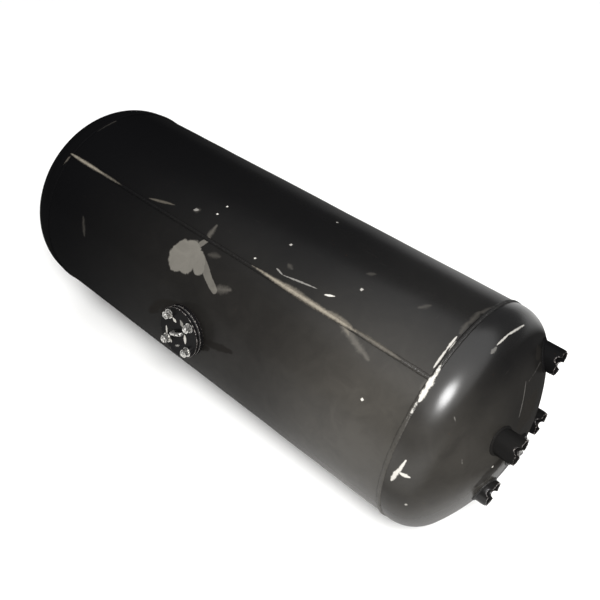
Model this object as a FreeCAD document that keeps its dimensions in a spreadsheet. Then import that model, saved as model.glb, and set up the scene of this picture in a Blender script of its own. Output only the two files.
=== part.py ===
import FreeCAD, Part
import Sketcher
import math
import os
from FreeCAD import Placement, Rotation, Vector

# A welded steel pressure tank lying on its side. Its axis runs along X, with the four tubular
# feet of the feet end towards +X. Angles round the tank are counted from straight up towards
# the front, which is -Y. Every length is in millimetres.

SIZES = {
    # vessel
    "tank_od": 550.0,
    "wall": 5.0,
    "seam_distance": 1158.0,      # from the middle of one round seam to the middle of the other
    "head_flange": 12.0,          # straight part of each dished head
    "crown_radius": 440.0,
    "knuckle_radius": 84.7,
    # welds
    "root_gap": 4.0,
    "bead_width": 12.0,
    "bead_height": 2.0,
    "weld_leg": 5.0,
    "clearance": 0.3,
    "worn_flat": 1.5,             # worn off both round beads where the tank lies on them
    "seam_angle": 32.0,
    # feet
    "foot_od": 60.3,
    "foot_wall": 3.6,
    # each foot: behind the tank's axis, above it, and how far it stands past the head's crown
    "foot_1_back": 150.0,
    "foot_1_up": 138.0,
    "foot_1_reach": -14.0,
    "foot_2_back": -70.0,
    "foot_2_up": 89.0,
    "foot_2_reach": 28.0,
    "foot_3_back": -78.0,
    "foot_3_up": -74.0,
    "foot_3_reach": 7.0,
    "foot_4_back": 152.0,
    "foot_4_up": -67.0,
    "foot_4_reach": -7.0,
    "notch_radius": 8.5,
    "notch_angle": 38.0,          # one pair of notches faces this way, the other across it
    # drain at the middle of the feet head
    "socket_od": 73.0,
    "socket_bore": 57.0,
    "socket_reach": 4.5,
    "socket_depth": 10.0,
    "bush_hex": 65.0,
    "bush_head": 4.5,
    "bush_length": 22.0,
    "bush_bore": 18.6,
    # hand hole on the front of the shell
    "port_station": 578.0,        # from the seam of the feet head, along the tank
    "port_angle": 77.0,
    "neck_od": 60.3,
    "neck_wall": 3.6,
    "neck_depth": 6.0,
    "port_standoff": 9.0,
    "flange_od": 128.0,
    "flange_thickness": 9.0,
    "gasket_thickness": 2.0,
    "cover_thickness": 9.0,
    "bolt_circle": 98.0,
    "bolt_diameter": 12.0,
    "bolt_hole": 13.5,
    "washer_od": 24.0,
    "washer_thickness": 2.5,
    "nut_across_corners": 20.8,
    "nut_height": 10.8,
    "stud_show": 4.0,
    "thread_play": 0.1,
    "handle_length": 44.0,
    "handle_rod": 9.0,
    "handle_rise": 14.0,
}
FOOT_COUNT = 4
BOLT_COUNT = 4
HANDLE_TURN = 25.0                # degrees between the handle and the tank's length
SHEET = "sizes"

doc = FreeCAD.newDocument("pressure_tank")


# ---------------------------------------------------------------- sheet and helpers

def fill_sheet():
    """Put every driving dimension in the sheet, one row each, with its name as the alias."""
    sheet = doc.addObject("Spreadsheet::Sheet", SHEET)
    for row, (name, size) in enumerate(SIZES.items(), start=1):
        sheet.set(f"A{row}", name)
        sheet.set(f"B{row}", str(size))
        sheet.setAlias(f"B{row}", name)
    doc.recompute()
    return sheet


sheet = fill_sheet()


def size(formula):
    """The number that a formula of sheet names gives."""
    return float(sheet.evalExpression(formula))


def bound(formula):
    """The same formula as another object must write it, with the sheet before each name."""
    for name in sorted(SIZES, key=len, reverse=True):
        formula = formula.replace(name, f"<<{name[::-1]}>>")
    for name in SIZES:
        formula = formula.replace(f"<<{name[::-1]}>>", f"{SHEET}.{name}")
    return formula


def plane_of(body, role):
    """One of a body's own origin planes."""
    return next(item for item in body.Origin.OriginFeatures if item.Role == role)


def new_body(label):
    body = doc.addObject("PartDesign::Body", label)
    body.Label = label
    return body


def new_sketch(body, role):
    sketch = body.newObject("Sketcher::SketchObject", f"{body.Label}_sketch")
    sketch.AttachmentSupport = (plane_of(body, role), [""])
    sketch.MapMode = "FlatFace"
    return sketch


def hold(sketch, kind, element, formula, end=None):
    """Add one dimension to a sketch and bind it to the sheet."""
    name = f"d{sketch.ConstraintCount}"
    if kind == "Radius":
        index = sketch.addConstraint(Sketcher.Constraint(kind, element, size(formula)))
    else:
        index = sketch.addConstraint(Sketcher.Constraint(kind, -1, 1, element, end, size(formula)))
    sketch.renameConstraint(index, name)
    sketch.setExpression(f"Constraints.{name}", bound(formula))


def hold_point(sketch, element, end, across, along):
    """Fix a point of a sketch by its two formulas; a zero puts it on the axis itself."""
    for kind, formula, axis in (("DistanceX", across, -2), ("DistanceY", along, -1)):
        if abs(size(formula)) < 1e-9:
            sketch.addConstraint(Sketcher.Constraint("PointOnObject", element, end, axis))
        else:
            hold(sketch, kind, element, formula, end)


def arc_between(start, finish, radius):
    """The short arc of a radius from start to finish that turns anticlockwise."""
    chord = finish - start
    half = chord.Length / 2
    left = Vector(-chord.y, chord.x, 0).normalize()
    centre = (start + finish) / 2 + left * math.sqrt(radius ** 2 - half ** 2)
    first = math.atan2(start.y - centre.y, start.x - centre.x)
    last = math.atan2(finish.y - centre.y, finish.x - centre.x)
    circle = Part.Circle(centre, Vector(0, 0, 1), radius)
    return Part.ArcOfCircle(circle, first, last)


def add_outline(sketch, corners, arcs):
    """Closed outline through corners given as formulas; arcs names the sides that are round."""
    points = [Vector(size(x), size(y), 0) for x, y in corners]
    count = len(corners)
    ends = []
    for side in range(count):
        start, finish = points[side], points[(side + 1) % count]
        if side in arcs:
            radius, anticlockwise = arcs[side]
            first, last = (start, finish) if anticlockwise else (finish, start)
            sketch.addGeometry(arc_between(first, last, size(radius)), False)
            ends.append((1, 2) if anticlockwise else (2, 1))
        else:
            sketch.addGeometry(Part.LineSegment(start, finish), False)
            ends.append((1, 2))
    for side in range(count):
        after = (side + 1) % count
        sketch.addConstraint(Sketcher.Constraint("Coincident", side, ends[side][1], after, ends[after][0]))
    for side, (x, y) in enumerate(corners):
        hold_point(sketch, side, ends[side][0], x, y)
    for side, (radius, _) in arcs.items():
        hold(sketch, "Radius", side, radius)


def turned_body(label, corners, arcs=None):
    """A solid of revolution about the body's own Z axis, from corners (radius, height)."""
    body = new_body(label)
    sketch = new_sketch(body, "XZ_Plane")
    add_outline(sketch, corners, arcs or {})
    turn = body.newObject("PartDesign::Revolution", f"{label}_turned")
    turn.Profile = sketch
    turn.ReferenceAxis = (sketch, ["V_Axis"])
    turn.Angle = 360.0
    body.Tip = turn
    return body


def plate_body(label, circles, thickness):
    """A flat plate whose outline and holes are circles (x, y, radius), standing on Z = 0."""
    body = new_body(label)
    sketch = new_sketch(body, "XY_Plane")
    for index, (x, y, radius) in enumerate(circles):
        centre = Vector(size(x), size(y), 0)
        sketch.addGeometry(Part.Circle(centre, Vector(0, 0, 1), size(radius)), False)
        hold_point(sketch, index, 3, x, y)
        hold(sketch, "Radius", index, radius)
    pad = body.newObject("PartDesign::Pad", f"{label}_pad")
    pad.Profile = sketch
    pad.setExpression("Length", bound(thickness))
    body.Tip = pad
    return body


def cylinder(name, radius, height, place):
    rod = doc.addObject("Part::Cylinder", name)
    rod.setExpression("Radius", bound(radius))
    rod.setExpression("Height", bound(height))
    rod.Placement = place
    return rod


def minus(name, base, tools):
    """Cut each tool from the base in turn; the last cut takes the given name."""
    for index, tool in enumerate(tools):
        last = index == len(tools) - 1
        result = doc.addObject("Part::Cut", name if last else f"{name}_cut_{index + 1}")
        result.Base = base
        result.Tool = tool
        base = result
    base.Label = name
    return base


def together(kind, name, pieces):
    """Join pieces as a Part::MultiFuse, or keep them apart in a Part::Compound."""
    result = doc.addObject(kind, name)
    if kind == "Part::Compound":
        result.Links = pieces
    else:
        result.Shapes = pieces
    result.Label = name
    return result


# ---------------------------------------------------------------- places round the tank

def outward(angle):
    """Unit vector from the tank's axis at an angle from up towards the front."""
    turn = math.radians(angle)
    return Vector(0, -math.sin(turn), math.cos(turn))


def lengthwise(x, angle=0.0, radius=0.0, way=1):
    """Place whose Z runs along the tank, way +1 or -1, and whose X points outward."""
    out = outward(angle)
    axis = Vector(way, 0, 0)
    return Placement(out * radius + Vector(x, 0, 0), Rotation(out, axis.cross(out), axis, "ZXY"))


def radially(x, angle, radius=0.0):
    """Place whose Z points out of the tank and whose X runs along it."""
    out = outward(angle)
    along = Vector(1, 0, 0)
    return Placement(out * radius + Vector(x, 0, 0), Rotation(along, out.cross(along), out, "ZXY"))


SEAM_X = size("seam_distance") / 2
CROWN_CENTRE = ("(head_flange - sqrt((crown_radius - knuckle_radius)^2"
                " - (tank_od / 2 - knuckle_radius)^2))")
CROWN_X = SEAM_X + size(f"root_gap / 2 + {CROWN_CENTRE} + crown_radius")
CROWN_HEIGHT = f"({CROWN_CENTRE} + crown_radius - head_flange)"


# ---------------------------------------------------------------- vessel

def head_corners(inner, outer, bore):
    """Corners and arcs of a dished wall between two offsets from the outer surface."""
    reach = "(tank_od / 2 - knuckle_radius)"
    span = "(crown_radius - knuckle_radius)"

    def knuckle_end(offset):
        share = f"(crown_radius + {offset}) / {span}"
        return f"{share} * {reach}", f"{CROWN_CENTRE} + {share} * (head_flange - {CROWN_CENTRE})"

    def crown_end(offset):
        return bore, f"{CROWN_CENTRE} + sqrt((crown_radius + {offset})^2 - ({bore})^2)"

    corners = [(f"tank_od / 2 + {outer}", "0"), (f"tank_od / 2 + {outer}", "head_flange"),
               knuckle_end(outer), crown_end(outer)]
    arcs = {1: (f"knuckle_radius + {outer}", True), 2: (f"crown_radius + {outer}", True)}
    if inner is None:
        return corners + [("0", "0")], arcs
    corners += [crown_end(inner), knuckle_end(inner), (f"tank_od / 2 + {inner}", "head_flange"),
                (f"tank_od / 2 + {inner}", "0")]
    arcs[4] = (f"crown_radius + {inner}", False)
    arcs[5] = (f"knuckle_radius + {inner}", False)
    return corners, arcs


def dished_head(label, way, bore):
    corners, arcs = head_corners("(0 - wall)", "0", bore)
    head = turned_body(label, corners, arcs)
    head.Placement = lengthwise(way * (SEAM_X + size("root_gap / 2")), way=way)
    return head


def head_form(name, offset):
    """Solid form of the feet head, grown by an offset, for fitting feet and welds to it."""
    corners, arcs = head_corners(None, offset, "0")
    form = turned_body(name, corners, arcs)
    form.Placement = lengthwise(SEAM_X + size("root_gap / 2"))
    return form


def bead_crown():
    """Radius of the rounded top of a bead, from its width and its height."""
    rise = "(bead_height - clearance)"
    return f"((bead_width / 2)^2 + {rise}^2) / (2 * {rise})"


def round_seam(label, way):
    """Butt weld between shell and head: it fills the gap and stands up as a crowned bead.

    The tank lies on its two round beads, which are worn flat underneath.
    """
    low, high = "(bead_width - root_gap) / 2", "(bead_width + root_gap) / 2"
    skin = "tank_od / 2 + clearance"
    corners = [("tank_od / 2 - wall", low), (skin, low), (skin, "0"), (skin, "bead_width"),
               (skin, high), ("tank_od / 2 - wall", high)]
    seam = turned_body(label, corners, {2: (bead_crown(), True)})
    worn = new_sketch(seam, "XY_Plane")
    below = "0 - (tank_od / 2 + bead_height"
    low, top, half = f"{below} + wall)", f"{below} - worn_flat)", "tank_od / 4"
    add_outline(worn, [(low, f"0 - {half}"), (top, f"0 - {half}"), (top, half), (low, half)], {})
    flat = seam.newObject("PartDesign::Pocket", f"{label}_flat")
    flat.Profile = worn
    flat.Type = 1
    flat.Midplane = True
    seam.Tip = flat
    seam.Placement = lengthwise(way * SEAM_X - size("bead_width") / 2)
    return seam


def shell():
    """Rolled shell: a tube with the slit of its long seam and the hole of the hand hole."""
    length = "seam_distance - root_gap"
    body = turned_body("shell", [("tank_od / 2 - wall", "0"), ("tank_od / 2", "0"),
                                 ("tank_od / 2", length), ("tank_od / 2 - wall", length)])
    slit = new_sketch(body, "XY_Plane")
    middle = "tank_od / 2 - wall / 2"
    low, high = f"{middle} - wall", f"{middle} + wall"
    near, far = "0 - root_gap / 2", "root_gap / 2"
    add_outline(slit, [(low, near), (high, near), (high, far), (low, far)], {})
    cut = body.newObject("PartDesign::Pocket", "shell_slit")
    cut.Profile = slit
    cut.Type = 1
    cut.Midplane = True
    body.Tip = cut

    hole = new_sketch(body, "YZ_Plane")
    turn = size("seam_angle - port_angle")
    hole.AttachmentOffset = Placement(Vector(), Rotation(Vector(0, 1, 0), -turn))
    station = "seam_distance - root_gap / 2 - port_station"
    centre = Vector(0, size(station), 0)
    radius = "neck_od / 2 + clearance"
    hole.addGeometry(Part.Circle(centre, Vector(0, 0, 1), size(radius)), False)
    hold_point(hole, 0, 3, "0", station)
    hold(hole, "Radius", 0, radius)
    bore = body.newObject("PartDesign::Pocket", "shell_hand_hole")
    bore.Profile = hole
    bore.Reversed = True
    bore.setExpression("Length", bound("tank_od / 2 + wall"))
    body.Tip = bore
    body.Placement = lengthwise(-SEAM_X + size("root_gap / 2"), size("seam_angle"))
    return body


def long_seam():
    """Straight weld of the shell: a bar that fills the slit, under a low crowned bead.

    The bead ends where the beads of the round seams begin.
    """
    body = new_body("shell_seam")
    skin = "tank_od / 2 + clearance"
    gap, edge = "root_gap / 2", "bead_width / 2"
    bar = new_sketch(body, "XY_Plane")
    inside = "tank_od / 2 - wall"
    add_outline(bar, [(inside, f"0 - {gap}"), (skin, f"0 - {gap}"), (skin, gap), (inside, gap)], {})
    fill = body.newObject("PartDesign::Pad", "shell_seam_fill")
    fill.Profile = bar
    fill.setExpression("Length", bound("seam_distance - root_gap"))

    cap = new_sketch(body, "XY_Plane")
    start = "(bead_width - root_gap) / 2 + clearance"
    cap.setExpression("AttachmentOffset.Base.z", bound(start))
    add_outline(cap, [(skin, f"0 - {edge}"), (skin, edge)], {0: (bead_crown(), True)})
    bead = body.newObject("PartDesign::Pad", "shell_seam_bead")
    bead.Profile = cap
    bead.setExpression("Length", bound(f"seam_distance - root_gap - 2 * ({start})"))
    body.Tip = bead
    body.Placement = lengthwise(-SEAM_X + size("root_gap / 2"), size("seam_angle"))
    return body


# ---------------------------------------------------------------- feet head

def head_weld(name, radius, place, forms):
    """Weld round a tube that stands on the feet head, a weld leg wide and high."""
    height = f"{CROWN_HEIGHT} + head_flange + weld_leg * 2"
    ring = cylinder(f"{name}_ring", f"{radius} + weld_leg", height, place)
    layer = doc.addObject("Part::Common", f"{name}_layer")
    layer.Base = ring
    layer.Tool = forms["weld"]
    tube = cylinder(f"{name}_tube", f"{radius} + clearance / 3", height, place)
    return minus(name, layer, [tube, forms["seat"]])


def foot(index, forms):
    """Tube foot cut to the head's curve, with notches across its free end; and its weld.

    The feet were sawn off at different lengths, so each has a place and a reach of its own.
    """
    name = f"foot_{index}"
    centre = Vector(0, size(f"{name}_back"), size(f"{name}_up"))
    place = lengthwise(SEAM_X + size("root_gap / 2 + head_flange"))
    place.Base += centre
    length = f"{CROWN_HEIGHT} + {name}_reach"
    tube = cylinder(f"{name}_outside", "foot_od / 2", length, place)
    bore = cylinder(f"{name}_inside", "foot_od / 2 - foot_wall", length, place)
    end = Vector(CROWN_X + size(f"{name}_reach"), 0, 0) + centre
    notches = []
    for turn in (0, 90):
        out = outward(size("notch_angle") + turn)
        across = Placement(end - out * size("foot_od"), Rotation(Vector(0, 0, 1), out))
        notches.append(cylinder(f"{name}_notch_{turn}", "notch_radius", "foot_od * 2", across))
    leg = minus(name, tube, [bore, forms["seat"], *notches])
    weld = head_weld(f"{name}_weld", "foot_od / 2", place, forms)
    return [leg, weld]


def drain(forms):
    """Screwed socket in the middle of the head, its weld, and the bush screwed into it."""
    length = "socket_reach + socket_depth"
    socket = turned_body("drain_socket", [("socket_bore / 2", "0"), ("socket_od / 2", "0"),
                                          ("socket_od / 2", length), ("socket_bore / 2", length)])
    socket.Placement = lengthwise(CROWN_X - size("socket_depth"))
    weld = head_weld("drain_socket_weld", "socket_od / 2", lengthwise(SEAM_X), forms)

    face = CROWN_X + size("socket_reach")
    head = doc.addObject("Part::Prism", "drain_bush_hexagon")
    head.Polygon = 6
    head.setExpression("Circumradius", bound("bush_hex / sqrt(3)"))
    head.setExpression("Height", bound("bush_head"))
    head.Placement = lengthwise(face)
    thread = cylinder("drain_bush_thread", "socket_bore / 2 - thread_play", "bush_length",
                      lengthwise(face, way=-1))
    solid = together("Part::MultiFuse", "drain_bush_solid", [head, thread])
    bore = cylinder("drain_bush_bore", "bush_bore / 2", "bush_length + bush_head",
                    lengthwise(face - size("bush_length")))
    return [socket, weld, minus("drain_bush", solid, [bore])]


# ---------------------------------------------------------------- hand hole

PORT_X = SEAM_X - size("port_station")
PORT_ANGLE = size("port_angle")
NECK_FOOT = size("tank_od / 2 - wall - neck_depth")
FLANGE_FOOT = size("tank_od / 2 + port_standoff")
GASKET_FOOT = FLANGE_FOOT + size("flange_thickness")
COVER_FOOT = GASKET_FOOT + size("gasket_thickness")
COVER_TOP = COVER_FOOT + size("cover_thickness")


def port_place(radius):
    return radially(PORT_X, PORT_ANGLE, radius)


def bolt_circles(radius):
    """The circles of the bolts, as (x, y, radius) formulas, turned to straddle the length."""
    turns = [45 + index * 360 / BOLT_COUNT for index in range(BOLT_COUNT)]
    return [(f"bolt_circle / 2 * cos({turn})", f"bolt_circle / 2 * sin({turn})", radius)
            for turn in turns]


def bolt_places(radius):
    """A place for each bolt, its Z out of the tank, at a distance from the tank's axis."""
    places = []
    for x, y, _ in bolt_circles("0"):
        place = port_place(radius)
        places.append(place * Placement(Vector(size(x), size(y), 0), Rotation()))
    return places


def port_plates():
    """Neck, flange, gasket and cover, each on the one before it."""
    top = "neck_depth + wall + port_standoff + flange_thickness"
    neck = turned_body("port_neck", [("neck_od / 2 - neck_wall", "0"), ("neck_od / 2", "0"),
                                     ("neck_od / 2", top), ("neck_od / 2 - neck_wall", top)])
    neck.Placement = port_place(NECK_FOOT)
    rim = ("0", "0", "flange_od / 2")
    holes = bolt_circles("bolt_hole / 2")
    flange = plate_body("port_flange", [rim, ("0", "0", "neck_od / 2 + clearance"), *holes],
                        "flange_thickness")
    flange.Placement = port_place(FLANGE_FOOT)
    gasket = plate_body("port_gasket", [rim, ("0", "0", "neck_od / 2"), *holes], "gasket_thickness")
    gasket.Placement = port_place(GASKET_FOOT)
    cover = plate_body("port_cover", [rim, *holes], "cover_thickness")
    cover.Placement = port_place(COVER_FOOT)
    return [neck, flange, gasket, cover]


def port_weld():
    """Weld round the neck, on the curve of the shell."""
    place = port_place(size("tank_od / 2 - wall"))
    ring = cylinder("port_neck_weld_ring", "neck_od / 2 + weld_leg", "wall * 4", place)
    reach = "neck_od * 2"
    across = lengthwise(PORT_X - size(reach) / 2)
    layer = doc.addObject("Part::Common", "port_neck_weld_layer")
    layer.Base = ring
    layer.Tool = cylinder("port_neck_weld_skin", "tank_od / 2 + weld_leg", reach, across)
    tube = cylinder("port_neck_weld_tube", "neck_od / 2 + clearance / 3", "wall * 4", place)
    seat = cylinder("port_neck_weld_seat", "tank_od / 2 + clearance / 3", reach, across)
    return minus("port_neck_weld", layer, [tube, seat])


def port_fasteners():
    """Studs through flange and cover, with a washer and a nut on each."""
    studs, washers, nuts = [], [], []
    nut_foot = COVER_TOP + size("washer_thickness")
    grip = ("flange_thickness + gasket_thickness + cover_thickness + washer_thickness"
            " + nut_height + stud_show")
    rows = zip(bolt_places(FLANGE_FOOT), bolt_places(COVER_TOP), bolt_places(nut_foot))
    for index, (stud_place, washer_place, nut_place) in enumerate(rows, start=1):
        studs.append(cylinder(f"port_stud_{index}", "bolt_diameter / 2", grip, stud_place))
        disc = cylinder(f"port_washer_disc_{index}", "washer_od / 2", "washer_thickness", washer_place)
        hole = cylinder(f"port_washer_hole_{index}", "bolt_hole / 2", "washer_thickness", washer_place)
        washers.append(minus(f"port_washer_{index}", disc, [hole]))
        hexagon = doc.addObject("Part::Prism", f"port_nut_hexagon_{index}")
        hexagon.Polygon = 6
        hexagon.setExpression("Circumradius", bound("nut_across_corners / 2"))
        hexagon.setExpression("Height", bound("nut_height"))
        hexagon.Placement = nut_place
        thread = cylinder(f"port_nut_thread_{index}", "bolt_diameter / 2 + thread_play", "nut_height",
                          nut_place)
        nuts.append(minus(f"port_nut_{index}", hexagon, [thread]))
    groups = (("port_studs", studs), ("port_washers", washers), ("port_nuts", nuts))
    return [together("Part::Compound", name, pieces) for name, pieces in groups]


def port_handle():
    """Round-bar handle on the cover: two posts and the bar across them."""
    base = port_place(COVER_TOP) * Placement(Vector(), Rotation(Vector(0, 0, 1), HANDLE_TURN))
    half = size("handle_length / 2 - handle_rod / 2")
    rods = []
    for side in (-1, 1):
        place = base * Placement(Vector(side * half, 0, 0), Rotation())
        rods.append(cylinder(f"port_handle_post_{side + 2}", "handle_rod / 2", "handle_rise", place))
    lift = size("handle_rise - handle_rod / 2")
    start = Vector(-size("handle_length") / 2, 0, lift)
    bar = base * Placement(start, Rotation(Vector(0, 0, 1), Vector(1, 0, 0)))
    rods.append(cylinder("port_handle_bar", "handle_rod / 2", "handle_length", bar))
    return together("Part::MultiFuse", "port_handle", rods)


# ---------------------------------------------------------------- the whole tank

def build():
    forms = {"seat": head_form("head_seat_form", "clearance / 3"),
             "weld": head_form("head_weld_form", "weld_leg")}
    pieces = [shell(), long_seam()]
    pieces += [dished_head("feet_head", 1, "socket_od / 2 + clearance"),
               dished_head("plain_head", -1, "0")]
    pieces += [round_seam("feet_head_seam", 1), round_seam("plain_head_seam", -1)]
    for index in range(1, FOOT_COUNT + 1):
        pieces += foot(index, forms)
    pieces += drain(forms)
    pieces += port_plates()
    pieces += [port_weld(), port_handle()]
    pieces += port_fasteners()
    return pieces


def check(pieces):
    """Stop on any object that failed or any sub-part that isn't sound."""
    for item in doc.Objects:
        if {"Invalid", "Error"} & set(item.State):
            raise RuntimeError(f"{item.Label} failed: {item.State}")
    for piece in pieces:
        if piece.Shape.isNull() or not piece.Shape.isValid() or piece.Shape.Volume <= 0:
            raise RuntimeError(f"{piece.Label} has no sound shape")


def check_shell_cuts():
    """The slit and the hand hole each take their own volume out of the shell."""
    tube = doc.getObject("shell_turned").Shape.Volume
    slit = doc.getObject("shell_slit").Shape.Volume
    holed = doc.getObject("shell_hand_hole").Shape.Volume
    strip = size("wall * root_gap * (seam_distance - root_gap)")
    disc = size("pi * (neck_od / 2 + clearance)^2 * wall")
    if abs(tube - slit - strip) > 0.01 * strip or abs(slit - holed - disc) > 0.05 * disc:
        raise RuntimeError("a cut in the shell missed it")


def stand_on_floor(pieces):
    """Move the tank so that the origin lies under the middle of its bounding box."""
    box = FreeCAD.BoundBox()
    for piece in pieces:
        box.add(piece.Shape.optimalBoundingBox(False, False))
    shift = Vector(-box.Center.x, -box.Center.y, -box.ZMin)
    for piece in pieces:
        piece.Placement = Placement(shift, Rotation()) * piece.Placement
    doc.recompute()


def main():
    pieces = build()
    doc.recompute()
    check(pieces)
    check_shell_cuts()
    stand_on_floor(pieces)
    check(pieces)
    os.makedirs("parts", exist_ok=True)
    for piece in pieces:
        piece.Shape.exportStep(f"parts/{piece.Label}.step")
        box = piece.Shape.optimalBoundingBox(False, False)
        print(f"{piece.Label:20s} {len(piece.Shape.Solids)} solids {piece.Shape.Volume / 1000:9.2f} cm3"
              f"  x {box.XMin:8.1f} {box.XMax:8.1f}  y {box.YMin:7.1f} {box.YMax:7.1f}"
              f"  z {box.ZMin:7.1f} {box.ZMax:7.1f}")


main()
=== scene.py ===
# %% [markdown]
# # A pressure tank lying on its side
#
# The tank is a rolled steel shell closed by two dished heads. It was made to stand upright on four
# short pipe feet, and it was later laid down, so it rests on the two round welds. This script takes
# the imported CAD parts, which fix every size and place, and makes the visual model over them:
# smooth turned plate, rippled welds, sawn feet, chamfered bolts, and worn black enamel.
#
# The tank's axis runs along X with the feet towards +X, and -Y is the front. Angles round the tank
# are counted from straight up towards the front. Sizes are written in millimetres, as on a drawing,
# and `MM` turns them into Blender's metres.

import math

import bmesh
import bpy
import numpy as np
from mathutils import Matrix, Vector, noise


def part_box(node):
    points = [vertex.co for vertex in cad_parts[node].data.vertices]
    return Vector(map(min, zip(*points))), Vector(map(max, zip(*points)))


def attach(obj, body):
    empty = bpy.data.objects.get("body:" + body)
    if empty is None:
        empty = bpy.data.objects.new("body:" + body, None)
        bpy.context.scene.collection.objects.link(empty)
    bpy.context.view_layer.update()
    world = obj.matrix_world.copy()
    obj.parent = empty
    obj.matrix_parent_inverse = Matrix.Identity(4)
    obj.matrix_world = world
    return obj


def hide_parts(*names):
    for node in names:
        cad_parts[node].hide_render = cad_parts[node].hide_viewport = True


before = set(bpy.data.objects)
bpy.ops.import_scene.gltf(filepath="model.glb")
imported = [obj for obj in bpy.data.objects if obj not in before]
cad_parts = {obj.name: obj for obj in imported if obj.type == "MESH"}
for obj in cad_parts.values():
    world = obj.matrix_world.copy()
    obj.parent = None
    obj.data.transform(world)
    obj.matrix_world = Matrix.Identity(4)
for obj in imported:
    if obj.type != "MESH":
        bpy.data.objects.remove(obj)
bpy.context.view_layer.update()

# %% [markdown]
# ## Where things are
#
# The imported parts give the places: the middle of each round weld, and the axis and radius of the
# shell. The plate, pipe and bolt sizes are the ones that the parts were drawn with.

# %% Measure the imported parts
MM = 0.001


def middle(node):
    """Middle of the box round a CAD node."""
    low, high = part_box(node)
    return (low + high) / 2


AXIS = Vector((0, *middle("shell").yz))
RADIUS = (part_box("shell")[1].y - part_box("shell")[0].y) / 2 / MM
NEAR = middle("feet_head_seam").x
FAR = middle("plain_head_seam").x
LENGTH = (NEAR - FAR) / MM
WALL, ROOT_GAP = 5.0, 4.0
FLANGE, CROWN, KNUCKLE = 12.0, 440.0, 84.7
CROWN_CENTRE = FLANGE - math.sqrt((CROWN - KNUCKLE) ** 2 - (RADIUS - KNUCKLE) ** 2)
CROWN_REACH = ROOT_GAP / 2 + CROWN_CENTRE + CROWN
KNUCKLE_END = CROWN / (CROWN - KNUCKLE) * (RADIUS - KNUCKLE)
KNUCKLE_SWEEP = 57.6
SEAM_ANGLE = 32
AROUND = 360
print(f"shell radius {RADIUS:.1f} mm, {LENGTH:.1f} mm between round welds, heads {CROWN_REACH:.1f} mm deep")

# %% [markdown]
# ## Places on the tank
#
# A spot is named by how far it is from the near round weld towards the far end (its station, less
# than nothing on the near head) and by its angle. On a head the same station gives the radius.


# %% Stations, angles and local places
def outward(angle):
    """Unit vector away from the tank's axis at an angle from the top towards the front."""
    turn = math.radians(angle)
    return Vector((0, -math.sin(turn), math.cos(turn)))


def head_station(radius):
    """How far past its weld the outside of a head is, at a distance from the axis."""
    if radius <= KNUCKLE_END:
        return ROOT_GAP / 2 + CROWN_CENTRE + math.sqrt(CROWN**2 - radius**2)
    across = min(radius - (RADIUS - KNUCKLE), KNUCKLE)
    return ROOT_GAP / 2 + FLANGE + math.sqrt(KNUCKLE**2 - across**2)


def head_radius(past):
    """The distance from the axis at which a head is so far past its weld."""
    low, high = 0.0, RADIUS
    for _ in range(40):
        half = (low + high) / 2
        low, high = (half, high) if head_station(half) > past else (low, half)
    return half if past > ROOT_GAP / 2 + FLANGE else RADIUS


def spot(station, angle, radius=None):
    """The point on the outside of the tank at a station and an angle, in metres."""
    if radius is None:
        radius = RADIUS if station >= 0 else head_radius(-station)
    return AXIS + Vector((NEAR - station * MM, 0, 0)) + outward(angle) * radius * MM


def local_place(origin, z_axis, x_axis):
    """Matrix of a local frame, so that a piece can be drawn standing on its own Z = 0."""
    z_axis = Vector(z_axis).normalized()
    x_axis = (Vector(x_axis) - z_axis * z_axis.dot(Vector(x_axis))).normalized()
    turn = Matrix((x_axis, z_axis.cross(x_axis), z_axis)).transposed()
    return Matrix.Translation(origin) @ turn.to_4x4() @ Matrix.Scale(MM, 4)


def along_tank(x, way=1, centre=(0, 0)):
    """Place on the tank's axis, or beside it by (back, up), whose Z runs along the tank."""
    origin = AXIS + Vector((x, centre[0] * MM, centre[1] * MM))
    return local_place(origin, (way, 0, 0), (0, 0, 1))


print("a spot on the shell", [round(c, 3) for c in spot(578, 77)])

# %% [markdown]
# ## Turned plate and pipe
#
# Nearly every piece here comes off a lathe, a rolling machine or a press, so it is a set of rings.
# `bevelled` breaks each corner of a profile as a file or a press would, and marks the broken corner
# with an `edge` value, which the paint uses to know where it wears first.


# %% Rings into meshes
def bevelled(corners, bevel=0.6, margin=2.5):
    """Profile (radius, height, edge) with each corner off the axis broken and marked."""
    points = []
    for index, corner in enumerate(corners):
        here = Vector(corner)
        before = Vector(corners[index - 1]) - here
        after = Vector(corners[(index + 1) % len(corners)]) - here
        if here.x < 1e-6:
            points.append((here.x, here.y, 0.0))
            continue
        for side, lengths in ((before, (margin, bevel)), (after, (bevel, margin))):
            for length in lengths:
                reach = min(length, side.length * (0.45 if length == margin else 0.3))
                point = here + side.normalized() * reach
                points.append((point.x, point.y, float(length == bevel)))
    return points


def finish_mesh(mesh, material, sharp=32):
    """Weld doubled points, turn the faces outward and shade them smooth between sharp edges."""
    work = bmesh.new()
    work.from_mesh(mesh)
    bmesh.ops.remove_doubles(work, verts=work.verts, dist=1e-6)
    bmesh.ops.recalc_face_normals(work, faces=work.faces)
    work.to_mesh(mesh)
    work.free()
    mesh.shade_smooth()
    mesh.set_sharp_from_angle(angle=math.radians(sharp))
    mesh.materials.append(material)


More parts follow.
